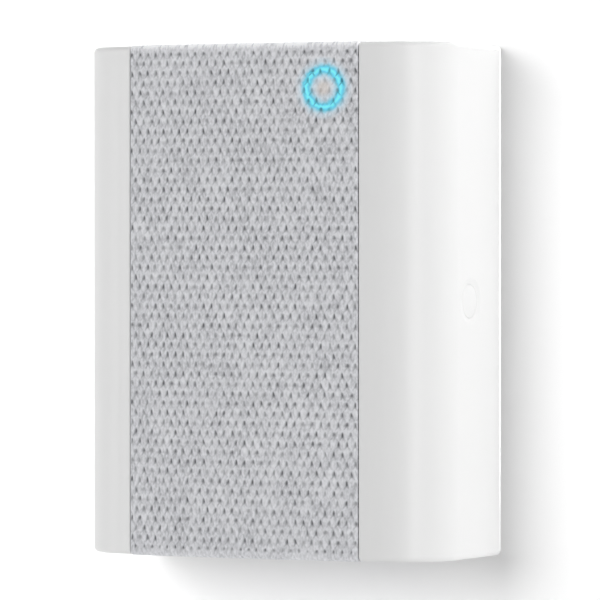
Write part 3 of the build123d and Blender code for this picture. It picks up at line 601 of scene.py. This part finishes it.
# ---------------------------------------------------------------- closing screws
def cross_cutter(name, top, sink, arm, reach, taper):
    """A cross that narrows inwards from the screw's face, of bars twice arm wide and twice reach long."""
    quarter = [(arm, arm), (arm, reach), (-arm, reach)]
    cross = []
    for _ in range(4):
        cross += quarter
        quarter = [(-z, x) for x, z in quarter]
    bm = bmesh.new()
    levels = ((top + 0.1 * mm, 1.0), (top - sink, taper))
    outer, inner = [[bm.verts.new((x * k, y, z * k)) for x, z in cross] for y, k in levels]
    bm.faces.new(outer)
    bm.faces.new(inner)
    for k in range(len(cross)):
        bm.faces.new((outer[k - 1], outer[k], inner[k], inner[k - 1]))
    bmesh.ops.recalc_face_normals(bm, faces=bm.faces)
    mesh = bpy.data.meshes.new(name)
    bm.to_mesh(mesh)
    bm.free()
    return piece_from(name, mesh)


screw_low, screw_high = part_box("housing_screws")
screw_length = screw_high.y - screw_low.y
head_radius = 2.1 * mm
head_height = 1.3 * mm
shank_radius = 1.1 * mm
head_crown = 0.16 * mm
head_round = 0.42 * mm
tip_radius = 0.4 * mm
tip_length = 0.6 * mm
recess = {"sink": 0.7 * mm, "arm": 0.3 * mm, "reach": 1.25 * mm, "taper": 0.72}
face_radius = head_radius - head_round
screw_profile = [(face_radius * k / 6, head_crown * (k / 6) ** 2) for k in range(7)]
screw_profile += [
    (face_radius + head_round * sin(a), head_crown + head_round * (1 - cos(a)))
    for a in (radians(15 * k) for k in range(2, 7))
]
screw_profile += [
    (head_radius, head_height),
    (shank_radius, head_height),
    (shank_radius, screw_length - tip_length),
    (tip_radius, screw_length),
    (0, screw_length),
]
screw = revolved("screw_blank", screw_profile, (0, screw_high.y, 0), (0, -1, 0), 48)
cutter = cross_cutter("screw_cutter", screw_high.y, **recess)
cut = screw.modifiers.new("recess", "BOOLEAN")
cut.object = cutter
cut.operation = "DIFFERENCE"
cut.solver = "EXACT"
evaluated = screw.evaluated_get(bpy.context.evaluated_depsgraph_get())
cut_mesh = bpy.data.meshes.new_from_object(evaluated)
bm = bmesh.new()
for x in (screw_low.x + head_radius, screw_high.x - head_radius):
    for z in (screw_low.z + head_radius, screw_high.z - head_radius):
        before = len(bm.verts)
        bm.from_mesh(cut_mesh)
        bm.verts.ensure_lookup_table()
        turn = Matrix.Rotation(rng.uniform(0, pi / 2), 3, "Y")
        for vertex in bm.verts[before:]:
            vertex.co = turn @ vertex.co + Vector((x, 0, z))
smoothed(bm, 32)
screw_mesh = bpy.data.meshes.new("closing_screws")
bm.to_mesh(screw_mesh)
bm.free()
for spare in (screw, cutter):
    bpy.data.objects.remove(spare)
stands_for(piece_from("closing_screws", screw_mesh), "housing_screws")

# ---------------------------------------------------------------- speaker surround
# the roll stays with the basket and the skirt moves with the cone, with room between them for its travel
surround_low, surround_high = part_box("speaker_surround")
surround_middle = (surround_low + surround_high) / 2
surround_origin = (surround_middle.x, surround_high.y, surround_middle.z)
surround_radius = (surround_high.x - surround_low.x) / 2
roll_rise = surround_high.y - surround_low.y
lip_width = 0.8 * mm
roll_outer = surround_radius - lip_width
roll_half = 1.0 * mm
roll_wall = 0.25 * mm
skirt_gap = 0.1 * mm
skirt_width = 0.6 * mm
skirt_outer = roll_outer - 2 * roll_half - skirt_gap
skirt_inner = skirt_outer - skirt_width


def half_roll(thinner, steps):
    """Points over the roll's arch, at steps of 12 degrees from its outer foot, less thinner all round."""
    middle = roll_outer - roll_half
    return [
        (middle + (roll_half - thinner) * cos(a), (roll_rise - thinner) * sin(a))
        for a in (radians(12 * k) for k in steps)
    ]


roll_profile = half_roll(0.0, range(15, 1, -1))
roll_profile += [(roll_outer, roll_wall), (surround_radius, roll_wall), (surround_radius, 0.0)]
roll_profile += half_roll(roll_wall, range(0, 16))
roll_profile.append(roll_profile[0])
skirt_profile = [(skirt_inner, 0.0), (skirt_inner, roll_wall / 2), (skirt_inner + roll_wall / 2, roll_wall)]
skirt_profile += [(skirt_outer, roll_wall), (skirt_outer, 0.0), (skirt_inner, 0.0)]
for name, profile, body in (
    ("surround_roll", roll_profile, "casing"),
    ("surround_skirt", skirt_profile, "diaphragm"),
):
    stands_for(revolved(name, profile, surround_origin, (0, -1, 0)), "speaker_surround", body)

# ---------------------------------------------------------------- knit band
column_pitch = 1.42 * mm
row_pitch = 1.48 * mm
columns_in_pitch = 10
rows_in_pitch = 9
# the relief is least on the bends and for plain_hem beside them
plain_hem = 0.35 * mm
hem_fade = 0.2 * mm
hem_least = 0.12
band_low, band_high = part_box("grille_fabric")
band_top = band_high.z
flap_level = -band_high.y
turn_radius = 0.8 * mm
selvage_round = 0.28 * mm
selvage_depth = 0.4 * mm
selvage_spread = 0.09 * mm
selvage_steps = (0, 0, 0.04, 0.12, 0.25, 0.45, 0.7, 1.0)
# a hole is narrower at its top, and no two are alike
hole_half_width = 0.17 * mm
hole_half_height = 0.40 * mm
hole_narrowing = 0.45
hole_least = 0.5
extra_breadth = 0.9
stitch_slip = 0.05 * mm
stitch_lean = 0.10
# the two creases that spread downwards from each hole, sunk a little and painted dark as the shadow between
# # the loops
crease_drop = 0.22 * mm
crease_slope = 0.75
crease_width = 0.13 * mm
crease_start = 0.15 * mm
crease_length = 0.75 * mm
crease_fade = 0.3 * mm
hole_relief = 0.26 * mm
crease_relief = 0.09 * mm
loop_relief = 0.08 * mm
# the painted highlight over the upper bend: how far before the bend it starts, over what length it grows,
# # and how far down the flap it ends
fringe_start = 0.15 * mm
fringe_fade = 0.75 * mm
fringe_end = 0.4 * mm


def knit(s, t):
    """Holes and creases, from 0 to 1, and relief, in metres, of the knit at s across and t along it."""
    shape = (int(2 * np.abs(t).max() / row_pitch) + 8, int(2 * np.abs(s).max() / column_pitch) + 8)
    strength = hole_least + (1 - hole_least) * rng.random(shape) ** 0.7
    slip = rng.normal(0, stitch_slip, (2, *shape))
    lean = rng.normal(0, stitch_lean, shape)
    breadth = 1 + extra_breadth * rng.random(shape) ** 3
    hole = np.zeros(s.shape)
    crease = np.zeros(s.shape)
    for step in (-1, 0, 1):
        row = np.floor(t / row_pitch).astype(int) + step
        shift = 0.5 * (row % 2)
        column = np.rint(s / column_pitch - shift).astype(int)
        at = (row + shape[0] // 2, column + shape[1] // 2)
        up = t - (row + 0.5) * row_pitch - slip[1][at]
        over = s - (column + shift) * column_pitch - slip[0][at] - lean[at] * up
        narrowed = 1 - hole_narrowing * np.clip(up / hole_half_height, -1, 1)
        half_wide = hole_half_width * breadth[at] * narrowed
        half_high = hole_half_height / np.sqrt(breadth[at])
        core = np.exp(-((over / half_wide) ** 2) - (up / half_high) ** 4)
        hole = np.maximum(hole, strength[at] / breadth[at] ** 0.4 * core)
        fall = -up - crease_drop
        leg = np.exp(-(((np.abs(over) - crease_slope * fall) / crease_width) ** 2))
        leg = leg * np.clip(fall / crease_start, 0, 1) * np.clip((crease_length - fall) / crease_fade, 0, 1)
        crease = np.maximum(crease, leg * strength[at])
    swell = np.cos(2 * pi * s / column_pitch) * np.cos(pi * t / row_pitch)
    relief = loop_relief * (0.5 - 0.5 * swell**2) - hole_relief * hole - crease_relief * crease
    return hole, crease, relief


def band_mesh(name):
    """The stretched knit, from the lower flap up the front to the upper one, its selvages tucked down.

    Returns the mesh and its flat size. The relief is low on the bends and fades out along the selvages.
    """
    selvage = np.array(selvage_steps) * selvage_round
    left, right = band_low.x - selvage_spread, band_high.x + selvage_spread
    inner = np.arange(left + selvage_round, right - selvage_round, column_pitch / columns_in_pitch)
    across = np.concatenate([left + selvage, inner[1:], right - selvage[::-1]])
    half_front = band_top - turn_radius
    quarter = pi / 2 * turn_radius
    flap = depth + fabric_proud - turn_radius - flap_level
    reach = half_front + quarter + flap
    along = np.arange(-reach, reach, row_pitch / rows_in_pitch)
    along = np.append(along, reach)
    s, t = np.meshgrid(across, along)
    hole, crease, relief = knit(s - across.mean(), t)
    off_bend = np.maximum(half_front - np.abs(t), np.abs(t) - half_front - quarter)
    plain = np.clip((off_bend - plain_hem) / hem_fade, hem_least, 1)
    hole, crease, relief = hole * plain, crease * plain, relief * plain
    front = bow_level + np.sqrt((crown_radius + fabric_proud) ** 2 - s**2)
    past = np.clip(np.abs(t) - half_front, 0, None)
    angle = np.clip(past / turn_radius, 0, pi / 2)
    share = np.clip((past - quarter) / flap, 0, 1)
    level = front - turn_radius * (1 - np.cos(angle)) - share * (front - turn_radius - flap_level)
    z = np.sign(t) * (np.minimum(np.abs(t), half_front) + turn_radius * np.sin(angle))
    tilt = s / (crown_radius + fabric_proud)
    from_side = np.minimum(s - across[0], across[-1] - s)
    round_off = selvage_round - np.clip(from_side, 0, selvage_round)
    drop = selvage_round - np.sqrt(selvage_round**2 - round_off**2)
    relief = np.where(from_side < selvage_round, relief * from_side / selvage_round, relief) - drop
    relief[:, 0] -= selvage_depth
    relief[:, -1] -= selvage_depth
    nx, nl, nz = np.sin(tilt) * np.cos(angle), np.cos(tilt) * np.cos(angle), np.sign(t) * np.sin(angle)
    points = np.stack([s + nx * relief, -(level + nl * relief), z + nz * relief], 2)
    rows, columns = s.shape
    index = np.arange(rows * columns).reshape(rows, columns)
    quads = np.stack([index[:-1, :-1], index[:-1, 1:], index[1:, 1:], index[1:, :-1]], 2).reshape(-1, 4)
    mesh = bpy.data.meshes.new(name)
    mesh.from_pydata(points.reshape(-1, 3).tolist(), [], quads.tolist())
    mesh.polygons.foreach_set("use_smooth", [True] * len(quads))
    # mask of the painted highlight, from just before the upper bend over it, fading out down the upper flap
    into_fringe = np.clip((t - half_front + fringe_start) / fringe_fade, 0, 1)
    fringe_highlight = into_fringe * np.clip(1 - share * flap / fringe_end, 0, 1)
    for key, value in (("hole", hole), ("crease", crease), ("fringe_highlight", fringe_highlight)):
        mesh.attributes.new(key, "FLOAT", "POINT").data.foreach_set("value", value.ravel())
    mesh.update()
    return mesh, (across[-1] - across[0], 2 * reach)


knit_mesh, band_flat = band_mesh("knit_band")
band = stands_for(piece_from("knit_band", knit_mesh), "grille_fabric")

# ---------------------------------------------------------------- stage, lamps and camera
# the camera stands right of the object's front, level with its upper half, and looks down a little
view_turn = radians(26.85)
camera_distance = 798.0 * mm
camera_aside = 3.54 * mm
camera_height = 9.66 * mm
camera_drop = radians(0.7)
focal_length = 307.2
# a lamp linked to the first lights all but the stage, and one linked to the second lights only the stage
stage_left_out = bpy.data.collections.new("stage_left_out")
stage_only = bpy.data.collections.new("stage_only")
stage_shade = 0.8
soft_light = 0.35


def facing(azimuth, elevation):
    """Unit vector from the object towards azimuth, to the right of the front, and elevation, in degrees."""
    a, e = radians(azimuth), radians(elevation)
    return Vector((sin(a) * cos(e), -cos(a) * cos(e), sin(e)))


def lamp(
    name, azimuth, elevation, distance, size, power, lit=stage_left_out, shading=stage_left_out, glossy=True
):
    """An area lamp that faces the object: distance and size in metres, power in watts."""
    data = bpy.data.lights.new(name, "AREA")
    data.shape = "RECTANGLE"
    data.size, data.size_y = size
    data.energy = power
    made = bpy.data.objects.new(name, data)
    made.location = facing(azimuth, elevation) * distance
    made.rotation_mode = "QUATERNION"
    made.rotation_quaternion = facing(azimuth, elevation).to_track_quat("Z", "Y")
    made.visible_camera = False
    made.visible_glossy = glossy
    made.light_linking.receiver_collection = lit
    made.light_linking.blocker_collection = shading
    scene.collection.objects.link(made)


def seen_directly(tree):
    """1 for camera, glossy and transmission rays, which should meet a white background."""
    path = add(tree, "ShaderNodeLightPath").outputs
    either = calc(tree, "MAXIMUM", path["Is Camera Ray"], path["Is Glossy Ray"])
    return calc(tree, "MAXIMUM", either, path["Is Transmission Ray"])


def corners_of(first, second):
    """Corners of a rectangle between two pairs of limits, counter-clockwise from the lower left."""
    (left, right), (low, high) = first, second
    return [(left, low), (right, low), (right, high), (left, high)]


def stage_sheet(name, corners, faces, lift):
    """A pale stage surface seen from its front only, with lift of white added where it is seen directly."""
    mesh = bpy.data.meshes.new(name)
    mesh.from_pydata(corners, [], faces)
    material, tree, shader = new_material(name)
    tree.nodes.remove(shader)
    matt = add(tree, "ShaderNodeBsdfDiffuse", Color=(*[stage_shade] * 3, 1)).outputs[0]
    seen = calc(tree, "MULTIPLY", seen_directly(tree), lift)
    white = add(tree, "ShaderNodeEmission", Strength=seen).outputs[0]
    lit = add(tree, "ShaderNodeAddShader", i0=matt, i1=white).outputs[0]
    clear = add(tree, "ShaderNodeBsdfTransparent").outputs[0]
    behind = add(tree, "ShaderNodeNewGeometry").outputs["Backfacing"]
    surface = add(tree, "ShaderNodeMixShader", Fac=behind, i1=lit, i2=clear).outputs[0]
    tree.links.new(surface, tree.nodes["Material Output"].inputs["Surface"])
    mesh.materials.append(material)
    piece = piece_from(name, mesh)
    piece.visible_glossy = False
    stage_left_out.objects.link(piece)
    stage_only.objects.link(piece)


# the wall has an opening behind the object and reaches in under its rim, so that its back still gets light
wall_place = -0.1 * mm
wall_half = 130.0 * mm
wall_left = -180.0 * mm
wall_lift = 0.10
under_rim = 0.7 * mm
floor_ahead = 800.0 * mm
floor_behind = 500.0 * mm
floor_height = -140.0 * mm
floor_lift = 0.2
open_x, open_z = half_width - under_rim, half_height - under_rim
wall_corners = corners_of((wall_left, wall_half), (floor_height, wall_half))
wall_corners += corners_of((-open_x, open_x), (-open_z, open_z))
stage_sheet(
    "stage_wall",
    [(x, wall_place, z) for x, z in wall_corners],
    [(0, 1, 5, 4), (1, 2, 6, 5), (2, 3, 7, 6), (3, 0, 4, 7)],
    wall_lift,
)
floor_corners = corners_of((-floor_behind, floor_ahead), (-floor_ahead, floor_behind))
stage_sheet("stage_floor", [(x, y, floor_height) for x, y in floor_corners], [(0, 1, 2, 3)], floor_lift)

for member in stage_left_out.collection_objects:
    member.light_linking.link_state = "EXCLUDE"
strip = (0.22, 0.8)
lamp("shadow_key", -18, 13, 0.8, (0.5, 0.40), 5.4, lit=stage_only, shading=None)
lamp("far_left", -78, 5, 0.8, strip, 0.87)
lamp("left", -52, 5, 0.8, strip, 1.06)
lamp("front_right", 56, 5, 0.8, strip, 1.5)
lamp("rear", 181, 12, 1.0, (0.12, 0.6), 3.1)
lamp("right", 86, 32, 0.5, (0.15, 0.2), 0.74, glossy=False)

world = bpy.data.worlds.new("studio")
scene.world = world
world.use_nodes = True
sky = world.node_tree
sky.nodes.clear()
soft = add(sky, "ShaderNodeBackground", Color=(1, 1, 1, 1), Strength=soft_light).outputs[0]
white = add(sky, "ShaderNodeBackground", Color=(1, 1, 1, 1), Strength=1.0).outputs[0]
both = add(sky, "ShaderNodeMixShader", Fac=seen_directly(sky), i1=soft, i2=white).outputs[0]
sky.links.new(both, add(sky, "ShaderNodeOutputWorld").inputs["Surface"])

camera = bpy.data.objects.new("camera", bpy.data.cameras.new("camera"))
scene.collection.objects.link(camera)
towards = Vector((sin(view_turn), -cos(view_turn), 0))
right_hand = Vector((cos(view_turn), sin(view_turn), 0))
camera.location = towards * camera_distance - right_hand * camera_aside + Vector((0, 0, camera_height))
camera.rotation_mode = "QUATERNION"
looking = -towards * cos(camera_drop) - Vector((0, 0, sin(camera_drop)))
camera.rotation_quaternion = looking.to_track_quat("-Z", "Y")
camera.data.lens = focal_length
camera.data.sensor_width = 36.0
camera.data.clip_start = 0.05
camera.data.clip_end = 10.0
scene.camera = camera

scene.view_settings.view_transform = "Standard"
